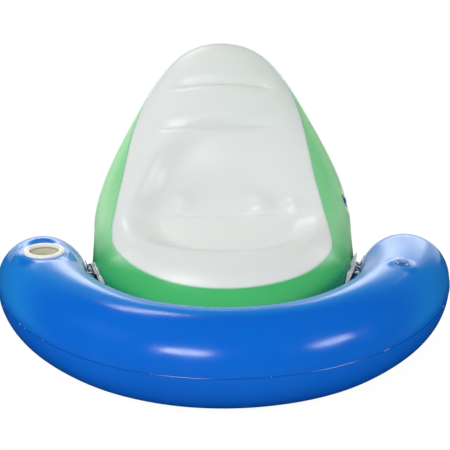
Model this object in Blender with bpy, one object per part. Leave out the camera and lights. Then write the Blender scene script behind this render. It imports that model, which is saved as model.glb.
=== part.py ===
"""Inflatable pool chair: a bent air tube with a cup holder, round a bucket seat with a raised back.

Every length is in metres. +Z is up, the front of the chair faces -Y, and +X is on the right of
someone who looks at it from the front.
"""
import math

import bmesh
import bpy
from mathutils import Matrix, Vector
from mathutils.bvhtree import BVHTree

# Air tube
TUBE_RADIUS = 0.116
FRONT_BEND_RADIUS = 0.407
FRONT_BEND_DEGREES = 43.4
ARM_BEND_RADIUS = 0.603
ARM_BEND_DEGREES = 40.7
FILM = 0.0012
CLEARANCE = 0.0003
FLAT_DEPTH = 0.0005

# Seat and back
SEAT_TO_TUBE = 0.011
SEAT_LENGTH = 1.07
SEAT_FLOOR_LENGTH = 0.307
BACK_BEND_RADIUS = 0.35
BACK_DEGREES = 60.0
HEAD_HALF_THICKNESS = 0.075
HEAD_HALF_WIDTH = 0.174
PRINT_DEGREES = 51.0
HEAD_PRINT_DEGREES = 3.0
UNDER_DEGREES = 66.0
BOWL_DEPTH = 0.034
CHANNEL_DEPTH = 0.013
CHANNEL_REACH = 0.05
WELD_CLEARANCE = 0.0008
FLANGE_OVERLAP = 0.004

# Shares that shape the seat: of its length, of its half width, or of its thickness
CREASE_SHARES = (0.296, 0.53, 0.765, 0.878)
CREASE_DEPTH_SHARES = (0.6, 0.9, 0.8, 1.0)
CREASE_WIDTH_SHARE = 0.66
CREASE_FULL_SHARE = 0.6
THINNING_SHARES = (0.35, 0.85)
TAPER_SHARES = (0.213, 1.01)
PRINT_FALL_SHARES = (0.44, 0.81)
BOWL_FRONT_SHARES = (0.16, 0.36)
BOWL_BACK_SHARES = (0.555, 0.835)
BOWL_SIDE_SHARES = (0.4, 0.86)
EDGE_FULLNESS = 5.0
HEAD_FULLNESS = 9.0
SLOPE_STEP_SHARE = 0.004
MERGE_SHARE = 0.1

# Cup holder
CUP_MOUTH_RADIUS = 0.037
CUP_RIM_RADIUS = 0.0525
CUP_RIM_HEIGHT = 0.011
CUP_DEPTH = 0.085
CUP_FLOOR_RADIUS = 0.034
CUP_FROM_ARM_END = 0.078
CUP_SINK = 0.006
CUP_DENT_WIDTH = 0.03

# Corner tabs where the seat weld ends on each arm
TAB_LENGTH = 0.03
TAB_HEIGHT = 0.026

# Air valves
VALVE_FLANGE_RADIUS = 0.019
VALVE_FLANGE_THICKNESS = 0.0012
VALVE_COLLAR_DEPTH = 0.004
VALVE_STEM_RADIUS = 0.0067
VALVE_BORE_RADIUS = 0.004
VALVE_WALL = 0.0014
VALVE_LIP_WIDTH = 0.0018
VALVE_LIP_THICKNESS = 0.0012
VALVE_STROKE = 0.012
VALVE_PLUG_LENGTH = 0.0035
VALVE_PLUG_TAPER = 0.0006
VALVE_CAP_THICKNESS = 0.0012
VALVE_CAP_OVERHANG = 0.0025
VALVE_STRAP_WIDTH = 0.004
VALVE_STRAP_LENGTH = 0.0025
STRAP_THICKNESS_SHARE = 0.7
VALVE_TAB_LENGTH = 0.005
TUBE_VALVE_FROM_ARM_END = 0.189
TUBE_VALVE_DEGREES = 81.0
SEAT_VALVE_SHARE = 0.581
SEAT_VALVE_DEGREES = 15.0

# Counts of facets
MID_ROWS = 38
CAP_ROWS = 4
UPPER_FACETS = 12
LOWER_FACETS = 5
SEAT_ROWS_FRONT = 11
SEAT_ROWS_BACK = 18
SEAT_COLUMNS = 18
RINGS_ABOVE = 2
RINGS_BELOW = 3
UNDER_COLUMNS = 8
ROUND_FACETS = 32
SMALL_FACETS = 24
CUP_RIM_FACETS = 10
REACH_SAMPLES = 200
SMOOTH_DEGREES = 40.0

# Sizes that follow from the ones above
TUBE_HEIGHT = TUBE_RADIUS - FLAT_DEPTH
FRONT_ANGLE = math.radians(FRONT_BEND_DEGREES)
ARM_ANGLE = math.radians(ARM_BEND_DEGREES)
BACK_ANGLE = math.radians(BACK_DEGREES)
FRONT_REACH = FRONT_BEND_RADIUS * FRONT_ANGLE
TUBE_REACH = FRONT_REACH + ARM_BEND_RADIUS * ARM_ANGLE
ARM_CENTRE_X = (FRONT_BEND_RADIUS - ARM_BEND_RADIUS) * math.sin(FRONT_ANGLE)
ARM_CENTRE_Y = FRONT_BEND_RADIUS - (FRONT_BEND_RADIUS - ARM_BEND_RADIUS) * math.cos(FRONT_ANGLE)
SEAT_FRONT_Y = TUBE_RADIUS + SEAT_TO_TUBE
SEAT_FRONT_BEND = FRONT_BEND_RADIUS - SEAT_FRONT_Y
SEAT_SIDE_BEND = ARM_BEND_RADIUS - SEAT_FRONT_Y
SEAT_WIDEST = ARM_CENTRE_Y - SEAT_FRONT_Y
SEAT_HALF_WIDTH = ARM_CENTRE_X + SEAT_SIDE_BEND
CREASES = [share * SEAT_LENGTH for share in CREASE_SHARES]


def ease(low, high, value):
    """A smooth step from 0 at low to 1 at high."""
    step = min(max((value - low) / (high - low), 0.0), 1.0)
    return step * step * (3.0 - 2.0 * step)


def clear_scene():
    for old in list(bpy.data.objects):
        bpy.data.objects.remove(old, do_unlink=True)


def vinyl(name, colour, roughness):
    """One Principled material: PVC sheet in a plain colour."""
    material = bpy.data.materials.new(name)
    material.use_nodes = True
    shader = material.node_tree.nodes["Principled BSDF"]
    shader.inputs["Base Color"].default_value = (*colour, 1.0)
    shader.inputs["Roughness"].default_value = roughness
    shader.inputs["Metallic"].default_value = 0.0
    return material


def add_object(name, shape, material, parent):
    """Turn a bmesh into a smooth-shaded object under its parent."""
    bmesh.ops.recalc_face_normals(shape, faces=shape.faces)
    mesh = bpy.data.meshes.new(name)
    shape.to_mesh(mesh)
    shape.free()
    mesh.shade_smooth()
    mesh.set_sharp_from_angle(angle=math.radians(SMOOTH_DEGREES))
    mesh.materials.append(material)
    piece = bpy.data.objects.new(name, mesh)
    bpy.context.collection.objects.link(piece)
    piece.parent = parent
    return piece


def add_empty(name, parent, matrix):
    """An empty that carries pieces, placed by a matrix in its parent's space."""
    empty = bpy.data.objects.new(name, None)
    bpy.context.collection.objects.link(empty)
    empty.parent = parent
    empty.location = matrix.to_translation()
    empty.rotation_euler = matrix.to_euler()
    return empty


def add_grid(shape, grid):
    """Faces between neighbouring rows of points."""
    rows = [[shape.verts.new(point) for point in row] for row in grid]
    for near, far in zip(rows, rows[1:]):
        for a, b, c, d in zip(near, near[1:], far[1:], far):
            shape.faces.new((a, b, c))
            shape.faces.new((a, c, d))


def edge_loop(grid):
    """The points round a grid, ending where they began."""
    right = [row[-1] for row in grid]
    left = [row[0] for row in reversed(grid)]
    return grid[0] + right[1:] + list(reversed(grid[-1]))[1:] + left[1:]


def shell(outer, inner):
    """A closed sheet between two grids of points of the same size, joined round their edges."""
    shape = bmesh.new()
    add_grid(shape, outer)
    add_grid(shape, inner)
    add_grid(shape, (edge_loop(outer), edge_loop(inner)))
    weld_points(shape)
    return shape


def weld_points(shape):
    """Merge the points that a pole or a closed ring repeats, and drop the faces this flattens."""
    merge = CLEARANCE * MERGE_SHARE
    bmesh.ops.remove_doubles(shape, verts=shape.verts, dist=merge)
    bmesh.ops.dissolve_degenerate(shape, edges=shape.edges, dist=merge)
    loose = [edge for edge in shape.edges if not edge.link_faces]
    bmesh.ops.delete(shape, geom=loose, context="EDGES")


def turned(profile, facets):
    """Spin a closed outline of (radius, height) points about Z."""
    shape = bmesh.new()
    points = [shape.verts.new((radius, 0.0, height)) for radius, height in profile]
    edges = [shape.edges.new((a, b)) for a, b in zip(points, points[1:] + points[:1])]
    bmesh.ops.spin(shape, geom=points + edges, axis=(0.0, 0.0, 1.0), cent=(0.0, 0.0, 0.0),
                   angle=math.tau, steps=facets, use_merge=True)
    weld_points(shape)
    return shape


def block(low, high):
    """A box from its lowest to its highest corner."""
    shape = bmesh.new()
    bmesh.ops.create_cube(shape, size=1.0)
    low = Vector(low)
    high = Vector(high)
    bmesh.ops.scale(shape, verts=shape.verts, vec=high - low)
    bmesh.ops.translate(shape, verts=shape.verts, vec=(low + high) / 2.0)
    return shape


def use_boolean(piece, other, operation):
    """Join a piece with a guide solid, or cut it, and keep the guide out of the model."""
    other.hide_render = True
    other.display_type = "WIRE"
    modifier = piece.modifiers.new(operation.title(), "BOOLEAN")
    modifier.operation = operation
    modifier.solver = "EXACT"
    modifier.object = other


# The tube follows two bends on each side of the middle of the chair's front

def tube_station(along):
    """Middle of the tube, its outward side and its way forward, a given length from the front's middle."""
    reach = abs(along)
    side = math.copysign(1.0, along)
    if reach <= FRONT_REACH:
        angle = reach / FRONT_BEND_RADIUS
        centre = Vector((0.0, FRONT_BEND_RADIUS, 0.0))
        bend = FRONT_BEND_RADIUS
    else:
        angle = FRONT_ANGLE + (reach - FRONT_REACH) / ARM_BEND_RADIUS
        centre = Vector((ARM_CENTRE_X, ARM_CENTRE_Y, 0.0))
        bend = ARM_BEND_RADIUS
    outward = Vector((math.sin(angle), -math.cos(angle), 0.0))
    place = centre + outward * bend
    ahead = Vector((math.cos(angle), math.sin(angle), 0.0))
    place.x *= side
    outward.x *= side
    ahead.x *= side
    place.z = TUBE_HEIGHT
    return place, outward, ahead


def tube_rows():
    """(length from the middle, angle round the end dome) for every row of facets, end to end."""
    dome = [math.pi / 2 * i / CAP_ROWS for i in range(1, CAP_ROWS + 1)]
    rows = [(-TUBE_REACH, angle) for angle in reversed(dome)]
    rows += [(TUBE_REACH * (2.0 * i / MID_ROWS - 1.0), 0.0) for i in range(MID_ROWS + 1)]
    rows += [(TUBE_REACH, angle) for angle in dome]
    return rows


def tube_point(along, dome, turn, radius):
    """A point of the round tube; turn is 0 at its outer side, 90 degrees on top, -90 below."""
    place, outward, ahead = tube_station(along)
    section = radius * math.cos(dome)
    point = place + ahead * (radius * math.sin(dome)) + outward * (section * math.cos(turn))
    point.z += section * math.sin(turn)
    return point


def cup_matrix():
    """The cup holder stands upright on the left arm, at the level that it pulls the film down to."""
    place = tube_station(CUP_FROM_ARM_END - TUBE_REACH)[0]
    return Matrix.Translation((place.x, place.y, TUBE_HEIGHT + TUBE_RADIUS - CUP_SINK))


def dented(point, depth):
    """The film lies level round the cup holder and eases back to the round tube beyond it."""
    cup = cup_matrix().to_translation()
    away = math.hypot(point.x - cup.x, point.y - cup.y)
    pull = 1.0 - ease(CUP_RIM_RADIUS, CUP_RIM_RADIUS + CUP_DENT_WIDTH, away)
    level = cup.z - depth
    point.z += (level - point.z) * pull
    return point


def tube_grid(turns, radius, lift, shape_point):
    """Rows of points along the tube, moved up or down by the weld's clearance."""
    grid = []
    for along, dome in tube_rows():
        row = [shape_point(tube_point(along, dome, turn, radius)) for turn in turns]
        for point in row:
            point.z += lift
        grid.append(row)
    return grid


def tube_upper_panel(material, parent):
    turns = [math.pi * i / UPPER_FACETS for i in range(UPPER_FACETS + 1)]
    outer = tube_grid(turns, TUBE_RADIUS, CLEARANCE / 2.0, lambda point: dented(point, 0.0))
    inner = tube_grid(turns, TUBE_RADIUS - FILM, CLEARANCE / 2.0, lambda point: dented(point, FILM))
    return add_object("tube_upper_panel", shell(outer, inner), material, parent)


def tube_lower_panel(material, parent):
    """The lowest strip of facets is the flat that the tube rests on."""
    drop = CLEARANCE / 2.0
    flat = math.acos(1.0 - (FLAT_DEPTH + drop) / TUBE_RADIUS)
    side = math.pi / 2 - flat
    turns = [-side * i / LOWER_FACETS for i in range(LOWER_FACETS + 1)]
    turns += [-math.pi - turn for turn in reversed(turns)]
    outer = tube_grid(turns, TUBE_RADIUS, -drop, lambda point: point)
    inner = tube_grid(turns, TUBE_RADIUS - FILM, -drop, lambda point: point)
    return add_object("tube_lower_panel", shell(outer, inner), material, parent)


def weld_strip(name, near, far, level, material, parent):
    """A flat welded strip between two distances inside the tube's middle line."""
    stations = [TUBE_REACH * (2.0 * i / MID_ROWS - 1.0) for i in range(MID_ROWS + 1)]
    grids = []
    for height in (level, level - FILM):
        grid = []
        for along in stations:
            place, outward, ahead = tube_station(along)
            row = [place - outward * inset for inset in (near, far)]
            for point in row:
                point.z = height
            grid.append(row)
        grids.append(grid)
    return add_object(name, shell(grids[0], grids[1]), material, parent)


def weld_flanges(tube_vinyl, seat_vinyl, parent):
    """The tube's strip and the seat's strip overlap half way between tube and seat."""
    middle = TUBE_RADIUS + SEAT_TO_TUBE / 2.0
    lap = FLANGE_OVERLAP / 2.0
    weld_strip("tube_flange", TUBE_RADIUS + CLEARANCE, middle + lap, TUBE_HEIGHT,
               tube_vinyl, parent)
    weld_strip("seat_flange", middle - lap, SEAT_FRONT_Y - WELD_CLEARANCE, TUBE_HEIGHT + FILM + CLEARANCE,
               seat_vinyl, parent)


def corner_tabs(material, parent):
    """A tab lies against each arm's inner side where the weld to the seat ends."""
    lift = 2.0 * FILM + 2.0 * CLEARANCE
    low = math.asin(lift / TUBE_RADIUS)
    high = low + TAB_HEIGHT / TUBE_RADIUS
    for name, side in (("left_corner_tab", -1.0), ("right_corner_tab", 1.0)):
        grids = []
        for radius in (TUBE_RADIUS + CLEARANCE + FILM, TUBE_RADIUS + CLEARANCE):
            grid = []
            for i in range(3):
                along = side * (TUBE_REACH - TAB_LENGTH * i / 2.0)
                turns = [math.pi - low - (high - low) * j / 2.0 for j in range(3)]
                grid.append([tube_point(along, 0.0, turn, radius) for turn in turns])
            grids.append(grid)
        add_object(name, shell(grids[0], grids[1]), material, parent)


# The seat is a long pillow, laid along a line that runs level and then bends up into the back

def spine(along):
    """Place of the pillow's middle at a length from its front, and how steeply it rises there."""
    turned_length = min(max(along - SEAT_FLOOR_LENGTH, 0.0), BACK_BEND_RADIUS * BACK_ANGLE)
    angle = turned_length / BACK_BEND_RADIUS
    y = SEAT_FRONT_Y + min(along, SEAT_FLOOR_LENGTH) + BACK_BEND_RADIUS * math.sin(angle)
    z = TUBE_HEIGHT + BACK_BEND_RADIUS * (1.0 - math.cos(angle))
    beyond = max(along - SEAT_FLOOR_LENGTH - BACK_BEND_RADIUS * BACK_ANGLE, 0.0)
    return y + beyond * math.cos(angle), z + beyond * math.sin(angle), angle


def seat_half_width(along):
    """Round in front, where it nests in the tube, then narrowing to a round head."""
    y = SEAT_FRONT_Y + along
    if along <= SEAT_WIDEST:
        turn_y = FRONT_BEND_RADIUS - SEAT_FRONT_BEND * math.cos(FRONT_ANGLE)
        if y <= turn_y:
            return math.sqrt(max(SEAT_FRONT_BEND ** 2 - (FRONT_BEND_RADIUS - y) ** 2, 0.0))
        return ARM_CENTRE_X + math.sqrt(max(SEAT_SIDE_BEND ** 2 - (ARM_CENTRE_Y - y) ** 2, 0.0))
    share = (along - SEAT_WIDEST) / (SEAT_LENGTH - SEAT_WIDEST)
    narrow = ease(TAPER_SHARES[0], TAPER_SHARES[1], share)
    width = SEAT_HALF_WIDTH + (HEAD_HALF_WIDTH - SEAT_HALF_WIDTH) * narrow
    return width * math.sqrt(max(1.0 - share ** HEAD_FULLNESS, 0.0))


def disk_to_length(across):
    """Length along the seat for a place on the unit disk, 1 at the front and -1 at the head."""
    if across >= 0.0:
        return SEAT_WIDEST * (1.0 - across)
    return SEAT_WIDEST - (SEAT_LENGTH - SEAT_WIDEST) * across


def length_to_disk(along):
    if along <= SEAT_WIDEST:
        return 1.0 - along / SEAT_WIDEST
    return (SEAT_WIDEST - along) / (SEAT_LENGTH - SEAT_WIDEST)


def hollow(along, side):
    """How far the top film is drawn in: the bowl, and the welded channels across it."""
    share = along / SEAT_LENGTH
    bowl = ease(BOWL_FRONT_SHARES[0], BOWL_FRONT_SHARES[1], share)
    bowl *= 1.0 - ease(BOWL_BACK_SHARES[0], BOWL_BACK_SHARES[1], share)
    bowl *= 1.0 - ease(BOWL_SIDE_SHARES[0], BOWL_SIDE_SHARES[1], abs(side))
    depth = BOWL_DEPTH * bowl
    fade = 1.0 - ease(CREASE_WIDTH_SHARE * CREASE_FULL_SHARE, CREASE_WIDTH_SHARE, abs(side))
    for crease, strength in zip(CREASES, CREASE_DEPTH_SHARES):
        near = max(1.0 - abs(along - crease) / CHANNEL_REACH, 0.0)
        depth += CHANNEL_DEPTH * strength * near * near * fade
    return depth


def seat_point(across, aside, top):
    """A point of the pillow over a place on the unit disk, on its top or its under side."""
    reach = min(math.hypot(across, aside), 1.0)
    chord = math.sqrt(max(1.0 - across * across, 0.0))
    side = min(max(aside / chord, -1.0), 1.0) if chord > 0.0 else 0.0
    along = disk_to_length(across)
    thin = ease(THINNING_SHARES[0], THINNING_SHARES[1], along / SEAT_LENGTH)
    crown = TUBE_RADIUS + (HEAD_HALF_THICKNESS - TUBE_RADIUS) * thin
    crown *= math.sqrt(max(1.0 - reach ** EDGE_FULLNESS, 0.0))
    rise = crown - min(hollow(along, side), crown) if top else -crown
    y, z, angle = spine(along)
    point = Vector((seat_half_width(along) * side, y - rise * math.sin(angle), z + rise * math.cos(angle)))
    point.z = max(point.z, 0.0)
    return point


def rim_place(latitude, bearing):
    """Place on the unit disk of a point of the pillow's rim; a latitude below 0 is the under side."""
    reach = max(math.cos(latitude), 0.0) ** (2.0 / EDGE_FULLNESS)
    return reach * math.cos(bearing), reach * math.sin(bearing)


def print_latitude(across):
    """The white sheet ends well above the rim in front, and just above the rim round the head."""
    fall = ease(PRINT_FALL_SHARES[0], PRINT_FALL_SHARES[1], -across)
    return math.radians(PRINT_DEGREES + (HEAD_PRINT_DEGREES - PRINT_DEGREES) * fall)


def print_side(across):
    """Where the white sheet ends on a row across the seat, as a share of the half width."""
    reach = rim_place(print_latitude(across), 0.0)[0]
    chord = 1.0 - across * across
    if chord <= 0.0:
        return 0.0
    return math.sqrt(max(1.0 - (1.0 - reach * reach) / chord, 0.0))


def seat_disk_rows():
    """Rows of the white sheet from its front point to the head, with one on every welded crease."""
    front = rim_place(print_latitude(1.0), 0.0)[0]
    rear = rim_place(print_latitude(-1.0), 0.0)[0]
    rows = [front * math.sin(math.pi / 2 * (1.0 - i / SEAT_ROWS_FRONT)) for i in range(SEAT_ROWS_FRONT)]
    rows += [-rear * math.sin(math.pi / 2 * i / SEAT_ROWS_BACK) for i in range(SEAT_ROWS_BACK + 1)]
    for crease in CREASES:
        place = length_to_disk(crease)
        nearest = min(range(1, len(rows) - 1), key=lambda i: abs(rows[i] - place))
        rows[nearest] = place
    return rows


def surface_inward(across, aside, top):
    """Direction into the pillow, from its slopes beside a place on the unit disk."""
    step = SLOPE_STEP_SHARE
    limit = 1.0 - 2.0 * step
    reach = math.hypot(across, aside)
    if reach > limit:
        across *= limit / reach
        aside *= limit / reach
    slope_a = seat_point(across + step, aside, top) - seat_point(across - step, aside, top)
    slope_b = seat_point(across, aside + step, top) - seat_point(across, aside - step, top)
    outward = slope_a.cross(slope_b).normalized()
    return -outward if top else outward


def seat_skins(places):
    """Outer and inner grids of points from a grid of (across, aside, top) places."""
    outer = [[seat_point(*place) for place in row] for row in places]
    inner = [[seat_point(*place) + seat_inward(*place) * FILM for place in row] for row in places]
    return outer, inner


def seat_inward(across, aside, top):
    """Inward direction, which at the rim itself lies in the pillow's middle surface."""
    reach = math.hypot(across, aside)
    if reach < 1.0 - SLOPE_STEP_SHARE ** 2:
        return surface_inward(across, aside, top)
    above = surface_inward(across, aside, True)
    below = surface_inward(across, aside, False)
    return (above + below).normalized()


def seat_top_panel(material, parent):
    """White sheet: the seat, its front roll, the bowl and the channelled back."""
    places = []
    for across in seat_disk_rows():
        chord = math.sqrt(max(1.0 - across * across, 0.0))
        edge = print_side(across)
        columns = [math.sin(math.pi * (j / SEAT_COLUMNS - 0.5)) for j in range(SEAT_COLUMNS + 1)]
        places.append([(across, edge * column * chord, True) for column in columns])
    outer, inner = seat_skins(places)
    return add_object("seat_top_panel", shell(outer, inner), material, parent)


def seat_edge_places():
    """The white sheet's edge points in order round the seat, as bearings on the unit disk."""
    rows = seat_disk_rows()
    right = [(across, print_side(across) * math.sqrt(max(1.0 - across * across, 0.0))) for across in rows]
    left = [(across, -aside) for across, aside in reversed(right[1:-1])]
    return right + left


def seat_under_rings():
    """Rings of the green sheet, from the white sheet's edge over the rim to the level part below."""
    edge = seat_edge_places()
    rings = [[(across, aside, True) for across, aside in edge]]
    lowest = math.radians(-UNDER_DEGREES)
    levels = [(1.0 - i / RINGS_ABOVE, 0.0) for i in range(1, RINGS_ABOVE + 1)]
    levels += [(0.0, i / RINGS_BELOW) for i in range(1, RINGS_BELOW + 1)]
    for above, below in levels:
        row = []
        for across, aside in edge:
            latitude = print_latitude(across) * above + lowest * below
            row.append((*rim_place(latitude, math.atan2(aside, across)), latitude > 0.0))
        rings.append(row)
    return [ring + ring[:1] for ring in rings]


def seat_under_patch(ring):
    """Rows that fill the last ring, from one side of the seat to the other."""
    half = len(ring) // 2
    shares = [2.0 * j / UNDER_COLUMNS - 1.0 for j in range(UNDER_COLUMNS + 1)]
    return [[(across, aside * share, False) for share in shares] for across, aside, top in ring[:half + 1]]


def seat_bottom_panel(material, parent):
    """Green sheet: sides, underside and back of the seat."""
    rings = seat_under_rings()
    skins = seat_skins(rings)
    for skin in skins:
        skin[0] = [near + (far - near).normalized() * CLEARANCE for near, far in zip(skin[0], skin[1])]
    shape = bmesh.new()
    for skin, patch in zip(skins, seat_skins(seat_under_patch(rings[-1]))):
        add_grid(shape, skin)
        add_grid(shape, patch)
    add_grid(shape, (skins[0][0], skins[1][0]))
    weld_points(shape)
    return add_object("seat_bottom_panel", shape, material, parent)


def surface_of(piece):
    """The faces of a sheet, to measure up to."""
    mesh = piece.data
    return BVHTree.FromPolygons([point.co for point in mesh.vertices],
                                [list(face.vertices) for face in mesh.polygons])


def seat_web(name, crease, material, parent, top_sheet, under_sheet):
    """Upright sheet inside the pillow that holds the top film down along a crease."""
    across = length_to_disk(crease)
    edge = print_side(across)
    steps = [math.sin(math.pi * (j / SEAT_COLUMNS - 0.5)) * edge for j in range(SEAT_COLUMNS + 1)]
    y, z, angle = spine(crease)
    along = Vector((0.0, math.cos(angle), math.sin(angle)))
    rise = Vector((0.0, -math.sin(angle), math.cos(angle)))
    upper = []
    lower = []
    for side in steps:
        if abs(side) <= CREASE_WIDTH_SHARE:
            middle = Vector((seat_half_width(crease) * side, y, z))
            upper.append(surface_of(top_sheet).ray_cast(middle, rise)[0] - rise * WELD_CLEARANCE)
            lower.append(surface_of(under_sheet).ray_cast(middle, -rise)[0] + rise * WELD_CLEARANCE)
    grids = [[[point + along * offset for point in row] for row in (upper, lower)]
             for offset in (FILM / 2.0, -FILM / 2.0)]
    return add_object(name, shell(grids[0], grids[1]), material, parent)


# The cup holder hangs in the left arm

def cup_holder(rim_vinyl, wall_vinyl, floor_vinyl, place):
    """Soft rim ring, tapered sleeve and floor disc."""
    middle = (CUP_MOUTH_RADIUS + CUP_RIM_RADIUS) / 2.0
    half = (CUP_RIM_RADIUS - CUP_MOUTH_RADIUS) / 2.0
    ring = []
    for i in range(CUP_RIM_FACETS):
        turn = math.tau * i / CUP_RIM_FACETS
        ring.append((middle + half * math.cos(turn), CUP_RIM_HEIGHT / 2.0 * math.sin(turn)))
    add_object("cup_holder_rim", turned(ring, ROUND_FACETS), rim_vinyl, place)
    under = CUP_RIM_HEIGHT / 2.0 + CLEARANCE
    wall = [(middle, -under), (CUP_FLOOR_RADIUS + FILM, -CUP_DEPTH), (CUP_FLOOR_RADIUS, -CUP_DEPTH),
            (CUP_MOUTH_RADIUS, -under - FILM), (CUP_MOUTH_RADIUS, -under)]
    add_object("cup_holder_sleeve", turned(wall, ROUND_FACETS), wall_vinyl, place)
    seam = -CUP_DEPTH - CLEARANCE
    inside = CUP_FLOOR_RADIUS - CLEARANCE
    floor = [(0.0, seam + FILM), (inside, seam + FILM), (inside, seam), (CUP_FLOOR_RADIUS + FILM, seam),
             (CUP_FLOOR_RADIUS + FILM, seam - FILM), (0.0, seam - FILM)]
    add_object("cup_holder_floor", turned(floor, ROUND_FACETS), floor_vinyl, place)


def round_cutter(name, radius, reach, facets, parent):
    """A hidden cylinder that cuts a hole through a panel where its empty stands."""
    outline = [(0.0, -reach), (radius, -reach), (radius, reach), (0.0, reach)]
    return add_object(name, turned(outline, facets), None, parent)


# Two push-in air valves, each built upright at its own place on the film

def valve_levels():
    """Heights of the valve's pieces over the film, from the flange up to the cap."""
    flange_top = CLEARANCE + VALVE_FLANGE_THICKNESS
    lip_bottom = flange_top + CLEARANCE
    lip_top = lip_bottom + VALVE_LIP_THICKNESS
    return flange_top, lip_bottom, lip_top, lip_top + CLEARANCE


def valve_base(name, material, place):
    """Welded flange with a collar through the film."""
    flange_top = valve_levels()[0]
    bore = VALVE_STEM_RADIUS + CLEARANCE
    outline = [(bore, flange_top), (VALVE_FLANGE_RADIUS, flange_top), (VALVE_FLANGE_RADIUS, CLEARANCE),
               (bore + VALVE_WALL, CLEARANCE), (bore + VALVE_WALL, -VALVE_COLLAR_DEPTH),
               (bore, -VALVE_COLLAR_DEPTH)]
    add_object(name, turned(outline, SMALL_FACETS), material, place)


def valve_stem_foot():
    """Lowest height of the stem, which lets it rise by its stroke before its bead meets the collar."""
    return -VALVE_COLLAR_DEPTH - VALVE_STROKE - CLEARANCE - VALVE_WALL


def valve_stem(name, material, place):
    """Sliding stem with a lip on top, a stop bead below and a lug for the cap's strap."""
    lip_bottom, lip_top = valve_levels()[1:3]
    foot = valve_stem_foot()
    lip = VALVE_STEM_RADIUS + VALVE_LIP_WIDTH
    bead = VALVE_STEM_RADIUS + VALVE_WALL / 2.0
    outline = [(VALVE_BORE_RADIUS, lip_top), (lip, lip_top), (lip, lip_bottom), (VALVE_STEM_RADIUS, lip_bottom),
               (VALVE_STEM_RADIUS, foot + VALVE_WALL), (bead, foot + VALVE_WALL), (bead, foot),
               (VALVE_BORE_RADIUS, foot)]
    stem = add_object(name, turned(outline, SMALL_FACETS), material, place)
    lug = block((-lip - VALVE_STRAP_LENGTH, -VALVE_STRAP_WIDTH / 2.0, lip_bottom),
                (-lip + VALVE_LIP_WIDTH / 2.0, VALVE_STRAP_WIDTH / 2.0, lip_top))
    use_boolean(stem, add_object(name + "_lug", lug, material, place), "UNION")
    return stem


def valve_cap(name, material, stem):
    """Cap with its plug, strap and pull tab, turning about the end of the strap."""
    lip = VALVE_STEM_RADIUS + VALVE_LIP_WIDTH
    hinge_x = -lip - VALVE_STRAP_LENGTH
    seat = valve_levels()[3]
    hinge = add_empty(name + "_hinge", stem, Matrix.Translation((hinge_x, 0.0, seat)))
    plug = VALVE_BORE_RADIUS - CLEARANCE
    disc = VALVE_BORE_RADIUS + VALVE_CAP_OVERHANG
    outline = [(0.0, VALVE_CAP_THICKNESS), (disc, VALVE_CAP_THICKNESS), (disc, 0.0), (plug, 0.0),
               (plug - VALVE_PLUG_TAPER, -VALVE_PLUG_LENGTH), (0.0, -VALVE_PLUG_LENGTH)]
    shape = turned(outline, SMALL_FACETS)
    bmesh.ops.translate(shape, verts=shape.verts, vec=(-hinge_x, 0.0, 0.0))
    cap = add_object(name, shape, material, hinge)
    inside = disc - VALVE_WALL
    half = VALVE_STRAP_WIDTH / 2.0
    thick = VALVE_CAP_THICKNESS * STRAP_THICKNESS_SHARE
    strap = block((0.0, -half, 0.0), (-hinge_x - inside, half, thick))
    tab = block((-hinge_x + inside, -half, 0.0), (-hinge_x + disc + VALVE_TAB_LENGTH, half, thick))
    use_boolean(cap, add_object(name + "_strap", strap, material, hinge), "UNION")
    use_boolean(cap, add_object(name + "_tab", tab, material, hinge), "UNION")
    return cap


def valve_flap(name, material, stem):
    """Check flap under the stem, turning about its edge."""
    radius = VALVE_BORE_RADIUS + VALVE_WALL
    hinge = add_empty(name + "_hinge", stem, Matrix.Translation((-radius, 0.0, valve_stem_foot() - CLEARANCE)))
    outline = [(0.0, 0.0), (radius, 0.0), (radius, -FILM), (0.0, -FILM)]
    shape = turned(outline, SMALL_FACETS)
    bmesh.ops.translate(shape, verts=shape.verts, vec=(radius, 0.0, 0.0))
    return add_object(name, shape, material, hinge)


def air_valve(prefix, matrix, material, parent, panel):
    """All pieces of one valve, and the hole that its collar passes through."""
    place = add_empty(prefix + "_place", parent, matrix)
    valve_base(prefix + "_base", material, place)
    stem = valve_stem(prefix + "_stem", material, place)
    valve_cap(prefix + "_cap", material, stem)
    valve_flap(prefix + "_flap", material, stem)
    hole = VALVE_STEM_RADIUS + VALVE_WALL + 2.0 * CLEARANCE
    cutter = round_cutter(prefix + "_hole", hole, VALVE_FLANGE_RADIUS / 2.0, SMALL_FACETS, place)
    use_boolean(panel, cutter, "DIFFERENCE")


def upright(place, outward, lean):
    """A frame with its Z along outward and its X as near as it can be to lean."""
    z = outward.normalized()
    x = (lean - z * lean.dot(z)).normalized()
    y = z.cross(x)
    turn = Matrix((x, y, z)).transposed().to_4x4()
    return Matrix.Translation(place) @ turn


def tube_valve_matrix():
    along = TUBE_REACH - TUBE_VALVE_FROM_ARM_END
    turn = math.radians(TUBE_VALVE_DEGREES)
    place, outward, ahead = tube_station(along)
    point = tube_point(along, 0.0, turn, TUBE_RADIUS)
    return upright(point, point - place, ahead)


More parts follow.
